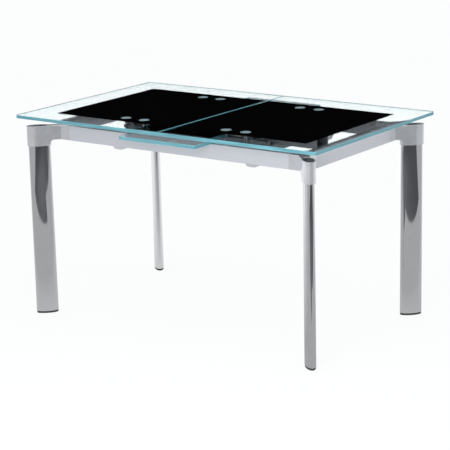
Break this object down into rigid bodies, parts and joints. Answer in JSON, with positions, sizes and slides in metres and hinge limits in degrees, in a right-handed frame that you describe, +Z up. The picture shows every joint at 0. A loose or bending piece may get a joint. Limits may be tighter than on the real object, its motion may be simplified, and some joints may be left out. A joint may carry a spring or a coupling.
{
  "type": "extending dining table",
  "caption": "Glass dining table whose two black-centred halves slide apart above a stored glass leaf, on a silver frame with oval chrome legs.",
  "frame": {"origin": "on the floor, under the centre of the closed table", "axes": "+X along the table to its right end, +Y to its back, +Z up"},
  "size_m": [1.3, 0.8, 0.76],
  "materials": {
    "clear_glass": "clear tempered glass with polished sea-green edges",
    "black_lacquer": "glossy black lacquer behind glass",
    "frosted_disc": "pale blue-grey bonding disc",
    "chrome": "bright polished chrome plate",
    "satin_aluminium": "satin die-cast aluminium",
    "silver_lacquer": "fine satin silver paint",
    "grey_steel": "grey powder coat on steel",
    "zinc_steel": "zinc-plated steel",
    "white_nylon": "moulded natural nylon",
    "black_plastic": "fine-grained black plastic",
    "foot_rubber": "matt black rubber"
  },
  "bodies": {
    "frame": {"front_rail": "silver_lacquer", "back_rail": "silver_lacquer", "left_rail": "silver_lacquer", "right_rail": "silver_lacquer", "front_left_corner": "satin_aluminium", "front_right_corner": "satin_aluminium", "back_left_corner": "satin_aluminium", "back_right_corner": "satin_aluminium", "front_left_leg": "chrome", "front_right_leg": "chrome", "back_left_leg": "chrome", "back_right_leg": "chrome", "front_left_foot": "foot_rubber", "front_right_foot": "foot_rubber", "back_left_foot": "foot_rubber", "back_right_foot": "foot_rubber", "sleeve_caps": "black_plastic", "leg_bolts": "zinc_steel", "rail_screws": "zinc_steel", "front_guide": "grey_steel", "back_guide": "grey_steel", "guide_hangers": "satin_aluminium", "left_cross_bar": "grey_steel", "right_cross_bar": "grey_steel", "central_beam": "grey_steel", "mechanism_bolts": "zinc_steel", "slide_stop_pins": "zinc_steel", "rack_guides": "white_nylon", "pinion_shaft": "zinc_steel", "pinion_washer": "zinc_steel", "lift_brackets": "grey_steel", "lift_bushes": "white_nylon"},
    "left_top": {"left_glass": "clear_glass", "left_black_panel": "black_lacquer", "left_glass_discs": "frosted_disc", "left_posts": "chrome", "left_post_nuts": "zinc_steel", "left_front_slider": "grey_steel", "left_back_slider": "grey_steel", "left_cross_tie": "grey_steel", "left_tie_screws": "zinc_steel", "left_rack": "zinc_steel"},
    "right_top": {"right_glass": "clear_glass", "right_black_panel": "black_lacquer", "right_glass_discs": "frosted_disc", "right_posts": "chrome", "right_post_nuts": "zinc_steel", "right_front_slider": "grey_steel", "right_back_slider": "grey_steel", "right_cross_tie": "grey_steel", "right_tie_screws": "zinc_steel", "right_rack": "zinc_steel"},
    "sync_pinion": {"sync_pinion": "white_nylon"},
    "leaf": {"leaf_glass": "clear_glass", "leaf_black_panel": "black_lacquer", "leaf_discs": "frosted_disc", "leaf_carrier": "grey_steel", "leaf_screws": "zinc_steel", "leaf_guide_pins": "chrome"}
  },
  "joints": [
    {"name": "right_slide", "type": "slide", "parent": "frame", "child": "right_top", "axis": [1, 0, 0], "range_m": [0, 0.165]},
    {"name": "left_slide", "type": "slide", "parent": "frame", "child": "left_top", "axis": [-1, 0, 0], "range_m": [0, 0.165]},
    {"name": "pinion_turn", "type": "hinge", "parent": "frame", "child": "sync_pinion", "pos_m": [0, 0, 0.685], "axis": [0, 0, 1], "range_deg": [-473, 0]},
    {"name": "leaf_lift", "type": "slide", "parent": "frame", "child": "leaf", "axis": [0, 0, 1], "range_m": [0, 0.0125]}
  ],
  "couplings": [
    {"joint": "left_slide", "follows": "right_slide", "ratio": 1},
    {"joint": "pinion_turn", "follows": "right_slide", "rad_per_m": -50}
  ]
}
